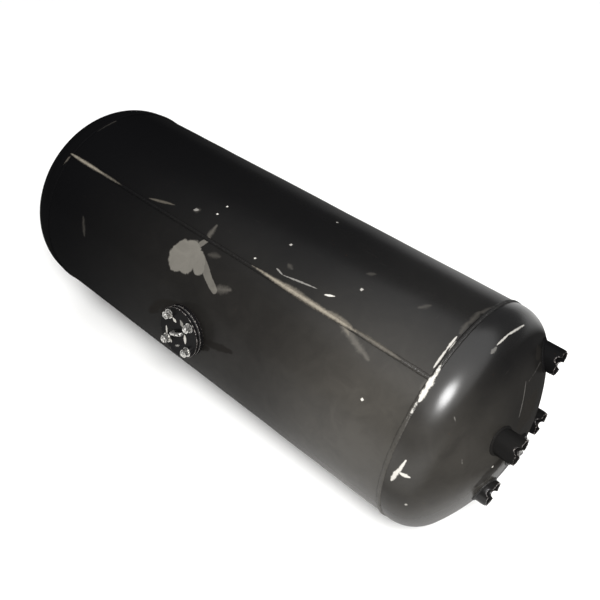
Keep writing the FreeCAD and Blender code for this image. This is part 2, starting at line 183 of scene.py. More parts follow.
def ring_mesh(name, rings, edges, material, sharp=32):
    """A closed mesh from rings of points, each ring joined to the next and the last to the first."""
    rings = np.asarray(rings, float)
    index = np.arange(rings.shape[0] * rings.shape[1]).reshape(rings.shape[:2])
    above, beside = np.roll(index, -1, 0), np.roll(index, -1, 1)
    faces = np.stack([index, beside, np.roll(above, -1, 1), above], -1).reshape(-1, 4)
    mesh = bpy.data.meshes.new(name)
    mesh.from_pydata(rings.reshape(-1, 3).tolist(), [], faces.tolist())
    wear = mesh.attributes.new("edge", "FLOAT", "POINT")
    wear.data.foreach_set("value", np.repeat(np.asarray(edges, float), rings.shape[1]))
    finish_mesh(mesh, material, sharp)
    return mesh


def placed(points, place):
    """Local points, as an array ending in xyz, moved to a place in the row frame."""
    matrix = np.array(place)
    return np.asarray(points) @ matrix[:3, :3].T + matrix[:3, 3]


def turned(name, profile, place, material, around=96, shape=None, sharp=32):
    """Mesh of a profile (radius, height, edge) turned about a place's Z; shape may move points."""
    turns = np.linspace(0, 2 * math.pi, around, endpoint=False)
    radius = np.array([p[0] for p in profile])[:, None] * np.ones(around)
    height = np.array([p[1] for p in profile])[:, None] * np.ones(around)
    if shape:
        radius, height = shape(radius, height, turns[None, :])
    points = np.stack([radius * np.cos(turns), radius * np.sin(turns), height], -1)
    return ring_mesh(name, placed(points, place), [p[2] for p in profile], material, sharp)


print("4 corners become", len(bevelled([(9, 0), (9, 5), (6, 5), (6, 0)])), "profile points")


# %% Meshes into pieces
def joined(name, meshes):
    """One mesh from several that share a material."""
    work = bmesh.new()
    for mesh in meshes:
        work.from_mesh(mesh)
    result = bpy.data.meshes.new(name)
    work.to_mesh(result)
    work.free()
    result.materials.append(meshes[0].materials[0])
    return result


def add_piece(mesh, slot, *nodes):
    """Show a mesh as one piece of the fixed tank, under its own name, in place of its CAD nodes."""
    piece = bpy.data.objects.new(mesh.name, mesh)
    bpy.context.scene.collection.objects.link(piece)
    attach(piece, "root")
    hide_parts(*nodes)
    print(f"{piece.name}: {len(mesh.polygons)} faces for {', '.join(nodes)}")


print("pieces will stand for", len(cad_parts), "CAD nodes")


# %% [markdown]
# ## Writing finishes as sums
#
# A finish is worked out from where a point is on the tank. Shader nodes are wordy to link by hand,
# so `Wire` lets a node's output be used in ordinary sums, and `Finish` adds any other node. The
# constants go straight onto the sockets, which keeps each tree readable when it is opened.


# %% A wire that does sums
class Wire:
    """A node's output that can be added, multiplied and compared like a number."""

    def __init__(self, finish, socket):
        self.finish, self.socket = finish, socket

    def _do(self, operation, *values):
        return self.finish.node("ShaderNodeMath", {"operation": operation}, dict(enumerate(values)))

    def __add__(self, other):
        return self._do("ADD", self, other)

    def __sub__(self, other):
        return self._do("SUBTRACT", self, other)

    def __rsub__(self, other):
        return self._do("SUBTRACT", other, self)

    def __mul__(self, other):
        return self._do("MULTIPLY", self, other)

    def __truediv__(self, other):
        return self._do("DIVIDE", self, other)

    def __neg__(self):
        return self._do("MULTIPLY", self, -1.0)

    def __or__(self, other):
        """The larger of the two, which is either mask."""
        return self._do("MAXIMUM", self, other)

    def __and__(self, other):
        """The smaller of the two, which is both masks at once."""
        return self._do("MINIMUM", self, other)

    __radd__, __rmul__ = __add__, __mul__


print("a wire can be used with + - * / | &")


# %% A tree of nodes
class Finish:
    """A material or a node group under construction."""

    def __init__(self, tree):
        self.tree = tree

    @classmethod
    def material(cls, name):
        """Start a new, empty material."""
        made = bpy.data.materials.new(name)
        made.use_nodes = True
        made.node_tree.nodes.clear()
        finish = cls(made.node_tree)
        finish.made = made
        return finish

    def node(self, kind, settings=None, inputs=None, output=0):
        """Any node: its settings first, then its inputs by name or number. Gives one output."""
        node = self.tree.nodes.new(kind)
        for key, value in (settings or {}).items():
            setattr(node, key, value)
        for key, value in (inputs or {}).items():
            socket = node.inputs[key]
            if isinstance(value, Wire):
                self.tree.links.new(value.socket, socket)
            else:
                socket.default_value = value
        return Wire(self, node.outputs[output]) if len(node.outputs) else None

    def noise(self, vector, scale, detail, rough, warp=0.0):
        """Cloudy noise from 0 to 1; warp swirls it."""
        inputs = {"Vector": vector, "Scale": scale, "Detail": detail, "Roughness": rough, "Distortion": warp}
        return self.node("ShaderNodeTexNoise", None, inputs, "Fac")

    def step(self, value, low, high):
        """0 at low and 1 at high, eased between; low may be the larger."""
        inputs = {"Value": value, "From Min": low, "From Max": high}
        return self.node("ShaderNodeMapRange", {"interpolation_type": "SMOOTHSTEP"}, inputs)

    def mix(self, factor, first, second):
        """Blend two colours."""
        inputs = {0: factor, 6: first, 7: second}
        return self.node("ShaderNodeMix", {"data_type": "RGBA"}, inputs, 2)

    def blend(self, factor, first, second):
        """Blend two numbers."""
        return self.node("ShaderNodeMix", {"data_type": "FLOAT"}, {0: factor, 2: first, 3: second})

    def vector(self, operation, *values, output=0):
        """Any sum of vectors. Output 1 is the number that a length or a dot product gives."""
        return self.node("ShaderNodeVectorMath", {"operation": operation}, dict(enumerate(values)), output)

    def stretched(self, vector, *scales):
        """A vector multiplied part by part, to draw a texture out along one way."""
        return self.vector("MULTIPLY", vector, scales)

    def bump(self, height, distance):
        """A normal tilted by a height, whose 1 is worth a distance in metres."""
        return self.node("ShaderNodeBump", None, {"Height": height, "Distance": distance, "Strength": 1.0})

    def surface(self, **inputs):
        """End the tree in a Principled surface with these inputs, and give the material."""
        named = {key.replace("_", " "): value for key, value in inputs.items()}
        shader = self.node("ShaderNodeBsdfPrincipled", None, named)
        self.node("ShaderNodeOutputMaterial", None, {"Surface": shader})
        return self.made


print("finishes can be started;", len(bpy.data.materials), "materials so far")

# %% [markdown]
# ## A scrape is a fat line
#
# Every scrape, spatter, smudge, dark patch and patch of painted shade runs from one spot on the plate to
# another. The group below says how deep inside such a line a point is. It works in plain 3-D distance,
# so it serves the shell, the heads and the welds alike. `marked` adds a little noise to that depth,
# which frays the edges.


# %% The mark group
def make_mark_group():
    """Node group: 1 in the middle of a fat line between two points, 0 outside its width.

    Taper makes the line thinner towards both ends, as the stroke of a scrape is.
    """
    tree = bpy.data.node_groups.new("mark", "ShaderNodeTree")
    kinds = {"Point": "Vector", "From": "Vector", "To": "Vector", "Width": "Float", "Taper": "Float"}
    for name, kind in kinds.items():
        tree.interface.new_socket(name, in_out="INPUT", socket_type=f"NodeSocket{kind}")
    tree.interface.new_socket("Depth", in_out="OUTPUT", socket_type="NodeSocketFloat")
    group = Finish(tree)
    source = tree.nodes.new("NodeGroupInput")
    point, start, end, width, taper = (Wire(group, source.outputs[name]) for name in kinds)
    line = group.vector("SUBTRACT", end, start)
    away = group.vector("SUBTRACT", point, start)
    share = group.vector("DOT_PRODUCT", away, line, output=1)
    share = share / group.vector("DOT_PRODUCT", line, line, output=1) & 1.0 | 0.0
    foot = group.node("ShaderNodeVectorMath", {"operation": "SCALE"}, {0: line, 3: share})
    gap = group.vector("LENGTH", group.vector("SUBTRACT", away, foot), output=1)
    sink = tree.nodes.new("NodeGroupOutput")
    from_middle = share * 2.0 - 1.0
    local_width = width * (1.0 - from_middle * from_middle * taper)
    tree.links.new((1.0 - gap / local_width | 0.0).socket, sink.inputs[0])
    return tree


MARK = make_mark_group()
print("mark group with", len(MARK.nodes), "nodes")

# %% [markdown]
# ## What the tank has been through
#
# The enamel has rubbed off the long weld where the tank was rolled along the ground, a sheet of paint
# has torn off near the hand hole down to the grey primer, and straps and chains have left scrapes.
# There are dark patches along the tank on both sides of the hand hole, and painted shade darkens the
# feet head beyond its crown. Each row is (from, to, width): a spot is a station and an angle, with a
# radius as well on the domed part of a head. Rows of one strength stay together.

# %% Marks on the shell, the heads and the welds
TAN_RUBS = {
    0.95: [((1175, 32), (1000, 32), 8), ((480, 31.5), (165, 32), 10.5)],
    0.5: [((1080, 32), (930, 32), 6), ((400, 31), (300, 31.5), 12),
          ((1157, 33), (1163, 40), 7), ((270, 31), (190, 31.5), 12)],
    0.3: [((846, 30.2), (764, 26), 6), ((210, 31.5), (60, 32), 8), ((230, 30), (190, 35), 9)],
}
PRIMER = {
    1.0: [((668, 43), (668, 49), 36), ((644, 41), (640, 47), 38), ((615, 42), (600, 46), 24)],
    0.75: [((607, 41), (556, 48.5), 12), ((562, 47.5), (533, 51), 11), ((636, 38), (621, 32), 9)],
}
SMUDGES = {
    0.8: [((540, 51), (494, 46.5), 15), ((624, 34), (627, 24), 10), ((225, 32), (165, 36), 15),
          ((186, 35), (128, 39), 13)],
    0.4: [((596, 38), (566, 36), 12), ((1014, 58), (994, 67), 10), ((408, 22), (392, 23), 8),
          ((708, 23), (696, 21.5), 14), ((1152, 0), (1156, 14), 10), ((250, 6), (236, 4), 9),
          ((110, 8), (96, 4), 10), ((13, -7), (11, 2), 10), ((14, 2), (10, 9), 9),
          ((4, -16), (10, -7), 8), ((5, 30), (6, 38), 9)],
}
SCRAPES = {
    1.0: [((649, 18.4), (648, 18.9), 6), ((646, 12.2), (644, 12.6), 5), ((99, 54), (98, 54.8), 6),
          ((486, 27.6), (485, 28), 6), ((292, 25.5), (269, 23.6), 4)],
    0.6: [((439, 12.6), (437, 13.2), 6), ((419, -16), (418, -15.4), 5), ((234, 14), (231, 15), 6),
          ((600, 93), (640, 90), 5), ((557, 78), (560, 85), 5)],
    0.3: [((425, 26.5), (402, 27.7), 3.5), ((402, 27.7), (313, 24.8), 3.5), ((710, 23), (700, 22), 7)],
}
# Dark patches along the tank on both sides of the hand hole.
DARK_PATCHES = {
    1.0: [((717, 84), (672, 72), 17), ((684, 74), (608, 68), 17), ((669, 79), (636, 71), 22),
          ((524, 78), (436, 73), 14), ((560, 79), (510, 77), 16), ((540, 84), (505, 80), 12)],
}
SEAM_SCRAPES = {
    0.95: [((0, 25), (-3, 32), 6), ((-2, 30), (-3, 37), 10), ((-3, 35), (-3, 42), 9),
           ((-2, 41), (0, 51), 5)],
    0.7: [((11, 11), (10, 19), 4), ((10, 18), (9, 28), 4), ((6, 13), (3, 21), 3), ((3, 21), (0, 27), 3)],
}
HEAD_SCRAPES = {
    0.95: [((-33, 66), (-23, 77), 6), ((-31, 73), (-50, 73), 7), ((-26, 72), (-20, 79), 8),
           ((-144, 73, 93), (-144, 76, 90), 5)],
    0.6: [((-61, -20), (-57, -6), 4.5), ((-57, -6), (-56, 3), 3.5), ((4, 88), (4, 90), 6),
          ((-58, 90), (-58, 91), 5)],
    0.14: [((-58, 4), (-58, 8), 7), ((-111, -34, 189), (-121, -6, 165), 4),
           ((-119, -9, 172), (-140, 6, 111), 4), ((-70, 40), (-110, 62, 190), 5)],
}
# Painted shade: the dark zone on the feet head beyond its crown is painted into the enamel's colour.
HEAD_PAINTED_SHADE = {
    0.85: [((-135, -30, 122), (-145, 0, 88), 52), ((-133, 30, 136), (-133, 43, 136), 26),
           ((-99, -33, 212), (-104, -28, 205), 24), ((-138, 95, 120), (-150, 60, 60), 30)],
}
PORT_SCRAPES = {
    0.9: [((600, 71.5, 304), (588, 72.5, 304), 7), ((556, 76, 304), (552, 80, 304), 7),
          ((604, 83, 304), (598, 85, 304), 7), ((620, 78, 304), (616, 82, 304), 5)],
    0.4: [((575, 70, 304), (560, 73, 304), 9), ((590, 86, 304), (570, 83, 304), 6)],
}
TABLES = (TAN_RUBS, PRIMER, SMUDGES, SCRAPES, DARK_PATCHES, SEAM_SCRAPES, HEAD_SCRAPES, HEAD_PAINTED_SHADE, PORT_SCRAPES)
print(sum(len(rows) for table in TABLES for rows in table.values()), "marks")

# %% [markdown]
# ## The black enamel
#
# It was sprayed on thick and glossy, then spent years outdoors. Underneath is a slight orange peel.
# Over it lies a brownish film, thickest low on the front and towards the feet, with some on the far dome.
# It is dust, and it is also painted sheen: the floor's reflection low on the front, and the lamp's
# light falling off away from the feet end. There are fine scuffs that run along and round the tank, a
# few rust specks, and the marks above. `edge` chips the paint off broken corners. The paint is a clear
# gloss coat over black, and wear takes the coat off first.

# %% Colours, and where a point is
# The grime tone is dirt on the bare steel; on the enamel it colours the dark patches and the painted shade.
# The dusty tone is dust that also paints sheen.
BLACK, DUST_AND_SHEEN_TONE, GRIME_AND_SHADE = (0.0035, 0.0035, 0.0038, 1), (0.046, 0.0425, 0.037, 1), (0.012, 0.011, 0.010, 1)
TAN, PALE, GREY_PRIMER = (0.23, 0.205, 0.165, 1), (0.50, 0.48, 0.44, 1), (0.165, 0.152, 0.132, 1)
OLD_PRIMER, CLEAN_PRIMER = (0.085, 0.080, 0.070, 1), (0.155, 0.145, 0.127, 1)
RUST, STEEL = (0.07, 0.03, 0.014, 1), (0.52, 0.51, 0.49, 1)

# How each kind of mark fades: (ragged, core, soft, taper), as `marked` takes them. The first is for the dark
# patches and the painted shade.
DARKENING, TORN, HAZED = (1.4, 0.15, 0.3, 0.5), (0.9, 0.12, 0.14, 0.15), (2.3, 0.10, 1.0, 0.5)
RUBBED, SCRAPED = (0.9, 0.12, 0.85, 0.8), (1.35, 0.24, 0.4, 0.6)


def as_millimetres(finish):
    """Where a point is in the row frame, in millimetres."""
    place = finish.node("ShaderNodeTexCoord", output="Object")
    return finish.node("ShaderNodeVectorMath", {"operation": "SCALE"}, {0: place, 3: 1000.0})


def tank_place(finish, point):
    """Station, angle in degrees and distance from the axis of a point in millimetres."""
    x, y, z = (finish.node("ShaderNodeSeparateXYZ", None, {0: point}, axis) for axis in "XYZ")
    back, up = y - AXIS.y / MM, z - AXIS.z / MM
    angle = finish.node("ShaderNodeMath", {"operation": "ARCTAN2"}, {0: -back, 1: up}) * (180 / math.pi)
    radius = finish.node("ShaderNodeMath", {"operation": "SQRT"}, {0: back * back + up * up})
    return NEAR / MM - x, angle, radius


# The second value is the dusty tone, which is dust and also painted sheen.
print("black reflects", BLACK[0], "and dust", DUST_AND_SHEEN_TONE[0], "of the light")


# %% Masks from the tables of marks
def marked(finish, point, table, fray, ragged, core, soft, taper):
    """Mask of a table of marks, torn by fray as much as ragged says, and fading over soft past core."""
    whole = None
    for strength, rows in table.items():
        depth = None
        for start, end, width in rows:
            inputs = {"Point": point, "From": spot(*start) / MM, "To": spot(*end) / MM,
                      "Width": float(width), "Taper": taper}
            one = finish.node("ShaderNodeGroup", {"node_tree": MARK}, inputs)
            depth = one if depth is None else depth | one
        mask = finish.step(depth + (fray - 0.5) * ragged, core, core + soft) * finish.step(depth, 0.0, 0.15)
        mask = mask * strength
        whole = mask if whole is None else whole | mask
    return whole


def both(first, second):
    """One table of marks from two."""
    return {key: first.get(key, []) + second.get(key, []) for key in {**first, **second}}


print(len(both(SCRAPES, SEAM_SCRAPES)), "strengths of scrape on the shell")


# %% The enamel, layer by layer
def enamel(name, rubs=None, primer=None, smudges=None, scrapes=None, dark_marks=None, dust=1.0, chips=0.5,
           weld=False, head=False):
    """Worn black enamel with the marks that its part of the tank has. Its dust film is also painted sheen,
    and on the feet head its dark marks are painted shade.
    """
    finish = Finish.material(name)
    point = as_millimetres(finish)
    station, angle, radius = tank_place(finish, point)

    broad = finish.noise(point, 0.004, 3, 0.6, 0.4)
    cloudy = finish.noise(point, 0.018, 5, 0.65, 0.8)
    fine = finish.noise(point, 0.16, 4, 0.6)
    fray = finish.noise(point, 0.075, 6, 0.72, 0.6)
    along = finish.noise(finish.stretched(point, 0.012, 0.35, 0.35), 1.0, 3, 0.6, 0.5)
    round_it = finish.noise(finish.stretched(point, 0.30, 0.010, 0.010), 1.0, 3, 0.6, 0.5)

    towards_feet = finish.step(station, 400.0, 60.0) * 0.62 + finish.step(station, 1150.0, 150.0) * 0.38
    towards_feet = towards_feet | finish.step(station, LENGTH + 50.0, LENGTH + 125.0) * 0.6
    # Dust film that is also painted sheen: lighter low on the front, where the floor is mirrored, and
    # towards the lamp at the feet end.
    low_front = finish.step(angle, 2.0, 62.0) * finish.step(angle, 165.0, 110.0)
    dust_and_sheen = (low_front * 0.8 + 0.12) * towards_feet * dust
    dust_and_sheen = dust_and_sheen * finish.blend(broad, 0.7, 1.3) * finish.blend(cloudy, 0.6, 1.4)
    scuffs = finish.step(along, 0.66, 0.80) | finish.step(round_it, 0.68, 0.82) * 0.8
    scuffs = scuffs * finish.step(broad, 0.35, 0.62)
    specks = finish.step(finish.noise(point, 0.23, 2, 0.5), 0.75, 0.80) * finish.step(cloudy, 0.50, 0.62)

    colour = finish.mix(dust_and_sheen, BLACK, DUST_AND_SHEEN_TONE)
    colour = finish.mix(scuffs * (towards_feet * 0.14 + 0.03), colour, GREY_PRIMER)
    colour = finish.mix(specks * 0.7, colour, RUST)
    worn = scuffs * 0.35 | specks
    darkened = 0.0
    # Dark patches beside the hand hole, and painted shade on the feet head beyond its crown.
    if dark_marks:
        darkened = marked(finish, point, dark_marks, fray, *DARKENING)
        colour = finish.mix(darkened, colour, GRIME_AND_SHADE)
    if primer:
        bare = marked(finish, point, primer, cloudy * 0.6 + fray * 0.4, *TORN)
        colour = finish.mix(bare, colour, finish.mix(cloudy, OLD_PRIMER, CLEAN_PRIMER))
        worn = worn | bare
    if smudges:
        hazy = marked(finish, point, smudges, cloudy * 0.4 + fray * 0.6, *HAZED)
        colour = finish.mix(hazy * 0.4, colour, GREY_PRIMER)
    for table, paint, settings in ((rubs, TAN, RUBBED), (scrapes, PALE, SCRAPED)):
        if table:
            rubbed = marked(finish, point, table, finish.noise(point, 0.15, 6, 0.75, 0.3), *settings)
            if weld and table is rubs:
                rubbed = rubbed * finish.step(radius, RADIUS - 1.5, RADIUS + 0.9)
            colour = finish.mix(rubbed, colour, paint)
            worn = worn | rubbed
    edge = finish.node("ShaderNodeAttribute", {"attribute_name": "edge"}, output="Fac")
    broken = edge + (finish.noise(point, 0.33, 5, 0.7) - 0.5) * 2.2
    holds = 1.25 - chips * 0.55
    chipped = finish.step(broken, holds, holds + 0.20) * finish.step(edge, 0.05, 0.35)
    colour = finish.mix(chipped, colour, finish.mix(fine, RUST, STEEL))
    worn = worn | chipped

    polished = towards_feet * 0.42 + 0.015
    if head:
        upper = finish.step(angle, 95.0, 50.0) * finish.step(angle, -180.0, -120.0)
        lower = finish.step(angle, 70.0, 110.0) * finish.step(angle, 180.0, 130.0)
        polished = (finish.step(radius, 240.0, 268.0) * upper | lower * 0.45) * 0.8 + 0.03
        colour = finish.mix(finish.step(radius, 235.0, 180.0) * broad * 0.55 * dust, colour, DUST_AND_SHEEN_TONE)
    rough = 0.34 + cloudy * 0.10 + dust_and_sheen * 0.15
    height = fine * 0.25 + finish.noise(point, 0.55, 2, 0.5) * 0.10 - worn * 0.9 - along * 0.10
    return finish.surface(
        Base_Color=colour,
        Roughness=finish.blend(worn, rough, 0.6) + darkened * 0.12,
        Metallic=chipped * finish.step(fine, 0.45, 0.6) * 0.85,
        Coat_Weight=(1.0 - worn) * (1.0 - darkened * 0.8) * polished,
        Coat_Roughness=0.26,
        Specular_IOR_Level=0.0,
        Normal=finish.bump(height, 0.10 * MM),
    )


# %% Paint for each part of the tank
shell_paint = enamel("shell_paint", TAN_RUBS, PRIMER, SMUDGES, both(SCRAPES, SEAM_SCRAPES), DARK_PATCHES)
# The feet head's enamel carries painted shade beyond its crown.
head_paint = enamel("head_paint", scrapes=both(HEAD_SCRAPES, SEAM_SCRAPES), dark_marks=HEAD_PAINTED_SHADE, dust=0.6,
                    head=True)
far_paint = enamel("far_head_paint", dust=0.9)
fitting_paint = enamel("fitting_paint", scrapes=PORT_SCRAPES, dust=0.15, chips=0.45)
foot_paint = enamel("foot_paint", dust=0.10, chips=0.4, head=True)
weld_paint = enamel("weld_paint", TAN_RUBS, scrapes=SEAM_SCRAPES, weld=True, chips=0.0)
small_weld_paint = enamel("small_weld_paint", dust=0.15, chips=0.0, head=True)
print("the shell's paint has", len(shell_paint.node_tree.nodes), "nodes")

# %% [markdown]
# ## Bare steel and rubber
#
# The bolts and the handle were never painted well: they are bright steel with black overspray and
# some rust. The bush was turned on a lathe, so its face keeps fine rings, and grease has filled it.
# The gasket is matt rubber that has dusted over at its edge.


# %% Steel and rubber finishes
def steel(name, grime, rust, ring_axis=None):
    """Bare steel under grime and rust; ring_axis adds the lathe's rings round a point (y, z)."""
    finish = Finish.material(name)
    point = as_millimetres(finish)
    cloudy = finish.noise(point, 0.09, 5, 0.65, 0.7)
    fine = finish.noise(point, 0.5, 4, 0.6)
    dirt = finish.step(finish.noise(point, 0.14, 5, 0.7, 0.5), 0.62 - grime * 0.3, 0.70 - grime * 0.3)
    rusty = finish.step(cloudy, 0.72 - rust * 0.25, 0.82 - rust * 0.2) * 0.8
    colour = finish.mix(fine, (0.40, 0.39, 0.37, 1), (0.66, 0.65, 0.62, 1))
    colour = finish.mix(rusty, colour, finish.mix(fine, RUST, (0.16, 0.075, 0.03, 1)))
    colour = finish.mix(dirt, colour, GRIME_AND_SHADE)
    height = fine * 0.6 + dirt * 0.5
    if ring_axis:
        y, z = (finish.node("ShaderNodeSeparateXYZ", None, {0: point}, axis) for axis in "YZ")
        back, up = y - ring_axis[0], z - ring_axis[1]
        radius = finish.node("ShaderNodeMath", {"operation": "SQRT"}, {0: back * back + up * up})
        height = height + finish.node("ShaderNodeMath", {"operation": "SINE"}, {0: radius * 9.0}) * 0.3
    return finish.surface(
        Base_Color=colour,
        Roughness=finish.blend(dirt | rusty, 0.28 + cloudy * 0.15, 0.6),
        Metallic=1.0 - (dirt | rusty) * 0.9,
        Normal=finish.bump(height, 0.08 * MM),
    )


def rubber(name):
    """Matt rubber under patches of dust."""
    finish = Finish.material(name)
    point = as_millimetres(finish)
    fine = finish.noise(point, 0.4, 5, 0.7)
    dusty = finish.step(finish.noise(point, 0.05, 4, 0.6), 0.4, 0.7)
    return finish.surface(
        Base_Color=finish.mix(dusty * 0.6, (0.016, 0.016, 0.016, 1), (0.07, 0.065, 0.058, 1)),
        Roughness=0.72 + fine * 0.2,
        Normal=finish.bump(fine, 0.15 * MM),
    )


bolt_steel = steel("bolt_steel", 0.40, 0.4)
handle_steel = steel("handle_steel", 0.45, 0.5)
bush_steel = steel("bush_steel", 0.70, 0.45, (AXIS.y / MM, AXIS.z / MM))
gasket_rubber = rubber("gasket_rubber")
print(len(bpy.data.materials), "finishes in all")

# %% [markdown]
# ## Shell and heads
#
# Plate rolled to a cylinder is never quite true: the long joint pulls the plate in beside it, the
# round welds shrink and draw the shell in like a belt, and a life of knocks leaves shallow dents. All
# of that is a few tenths of a millimetre to a millimetre, which is enough to bend the reflections.
# Each part keeps its wall, so it is a closed solid and the tank is hollow.


# %% Slightly untrue plate
def dent(station, angle, depth):
    """How far the plate is pushed in at a place, in millimetres."""
    spots = np.stack(np.broadcast_arrays(station * 0.0055, np.cos(angle) * 1.7, np.sin(angle) * 1.7), -1)
    flat = spots.reshape(-1, 3)
    waves = np.array([noise.noise(Vector(p)) * 0.7 + noise.noise(Vector(p) * 2.7) * 0.3 for p in flat])
    return np.clip(waves.reshape(spots.shape[:-1]) + 0.35, 0, None) * depth


def shell_mesh():
    """The rolled tube, drawn in beside its welds and dented a little."""
    half = LENGTH / 2 - ROOT_GAP / 2
    heights = np.linspace(-half, half, 146)
    profile = [(RADIUS, h, 0.0) for h in heights] + [(RADIUS - WALL, h, 0.0) for h in heights[::-6]]
    profile.append((RADIUS - WALL, -half, 0.0))

    def pull_in(radius, height, turns):
        ends = np.exp(-((half - np.abs(height)) / 22) ** 2) * 0.5
        from_seam = (turns - math.radians(SEAM_ANGLE) + math.pi) % (2 * math.pi) - math.pi
        seam = np.exp(-(from_seam * RADIUS / 20) ** 2) * 0.4
        outside = radius > RADIUS - 1
        return radius - outside * (ends + seam + dent(height, turns, 1.1)), height

    place = local_place(AXIS + Vector(((NEAR + FAR) / 2, 0, 0)), (1, 0, 0), (0, 0, 1))
    return turned("shell_plate", profile, place, shell_paint, AROUND, pull_in)


def head_profile(bore):
    """Both faces of a dished head as (radius, height, edge) from its weld's middle."""
    sweep = np.linspace(0, math.radians(KNUCKLE_SWEEP), 24)
    knuckle = [RADIUS - KNUCKLE + KNUCKLE * math.cos(a) for a in sweep]
    dome = np.linspace(KNUCKLE_END, bore, 46)[1:]
    start = ROOT_GAP / 2
    outside = [(RADIUS, start), (RADIUS, start + 6)] + [(r, head_station(r)) for r in knuckle]
    outside += [(r, head_station(r)) for r in dome]
    inside = [(bore, head_station(bore) - WALL)]
    for r, h in reversed(outside[2:-1:3]):
        centre = (RADIUS - KNUCKLE, start + FLANGE) if r > knuckle[-1] else (0, start + CROWN_CENTRE)
        lean = (Vector((r, h)) - Vector(centre)).normalized()
        inside.append(tuple(Vector((r, h)) - lean * WALL))
    inside.append((RADIUS - WALL, start))
    return [(r, h, 0.0) for r, h in outside + inside]


def head_mesh(name, way, bore, material):
    """A dished head; only its outside is a little untrue."""
    def press(radius, height, turns):
        outside = np.arange(len(height))[:, None] < len(height) * 0.72
        fade = np.clip((radius - 95) / 60, 0, 1)
        return radius - outside * dent(height + 700 * way, turns, 0.7) * fade, height

    place = along_tank(NEAR if way > 0 else FAR, way)
    return turned(name, head_profile(bore), place, material, AROUND, press)


# %% Show the shell and the heads
SOCKET_OUT, SOCKET_BORE = 36.5, 28.5
add_piece(shell_mesh(), "tank_paint", "shell")
add_piece(head_mesh("head_at_feet", 1, SOCKET_OUT + 0.2, head_paint), "tank_paint", "feet_head")
add_piece(head_mesh("head_at_far_end", -1, 0.0, far_paint), "tank_paint", "plain_head")

# %% [markdown]
# ## Welds
#
# A weld is a row of frozen puddles, each lapped over the one before it. The node group draws that
# rule: it walks along a path at a fixed pitch and sets down a low lens at each step, leaning back on
# the last, with its size and lie a little uneven. Each path point carries the way that the weld faces.
# The ripples are joined to plain mesh straight away.


# %% The weld group
def make_weld_group():
    """Geometry Nodes: lapped ripples along a path whose points carry the attribute `facing`."""
    tree = bpy.data.node_groups.new("weld_run", "GeometryNodeTree")
    face = tree.interface
    face.new_socket("Path", in_out="INPUT", socket_type="NodeSocketGeometry")
    for name in ("Pitch", "Width", "Height", "Lap"):
        face.new_socket(name, in_out="INPUT", socket_type="NodeSocketFloat")
    face.new_socket("Seed", in_out="INPUT", socket_type="NodeSocketInt")
    face.new_socket("Paint", in_out="INPUT", socket_type="NodeSocketMaterial")
    face.new_socket("Weld", in_out="OUTPUT", socket_type="NodeSocketGeometry")
    group = Finish(tree)
    source = tree.nodes.new("NodeGroupInput")
    path, pitch, width, height, lap, seed, paint = (Wire(group, source.outputs[i]) for i in range(7))

    curve = group.node("GeometryNodeMeshToCurve", None, {"Mesh": path})
    steps = group.node("GeometryNodeResampleCurve", {"mode": "LENGTH"}, {"Curve": curve, "Length": pitch})
    lens = group.node("GeometryNodeMeshUVSphere", None, {"Segments": 10, "Rings": 6, "Radius": 1.0})
    facing = group.node("GeometryNodeInputNamedAttribute", {"data_type": "FLOAT_VECTOR"}, {"Name": "facing"})
    ahead = group.node("GeometryNodeInputTangent")
    lie = group.node("FunctionNodeAxesToRotation", {"primary_axis": "Z", "secondary_axis": "X"},
                     {0: facing, 1: ahead})
    lean = group.node("FunctionNodeRandomValue", {"data_type": "FLOAT_VECTOR"},
                      {0: (-0.10, -0.36, -0.22), 1: (0.10, -0.20, 0.22), "Seed": seed})
    lie = group.node("FunctionNodeRotateRotation", {"rotation_space": "LOCAL"}, {0: lie, 1: lean})
    length = group.node("ShaderNodeMath", {"operation": "MULTIPLY"}, {0: pitch, 1: lap})
    full = group.node("ShaderNodeCombineXYZ", None, {0: length, 1: width / 2.0, 2: height})
    uneven = group.node("FunctionNodeRandomValue", {"data_type": "FLOAT_VECTOR"},
                        {0: (0.88, 0.90, 0.82), 1: (1.12, 1.08, 1.08), "Seed": seed + 7})
    size = group.vector("MULTIPLY", full, uneven)
    ripples = group.node("GeometryNodeInstanceOnPoints", None,
                         {"Points": steps, "Instance": lens, "Rotation": lie, "Scale": size})
    real = group.node("GeometryNodeRealizeInstances", None, {"Geometry": ripples})
    done = group.node("GeometryNodeSetMaterial", None, {"Geometry": real, "Material": paint})
    sink = tree.nodes.new("NodeGroupOutput")
    tree.links.new(done.socket, sink.inputs[0])
    return tree


WELD = make_weld_group()
print("weld group with", len(WELD.nodes), "nodes")
ROUND_BEAD, LONG_BEAD, FILLET = (3.4, 11.6, 1.7, 1.5), (3.4, 11.0, 1.6, 1.5), (2.6, 8.4, 2.7, 1.5)


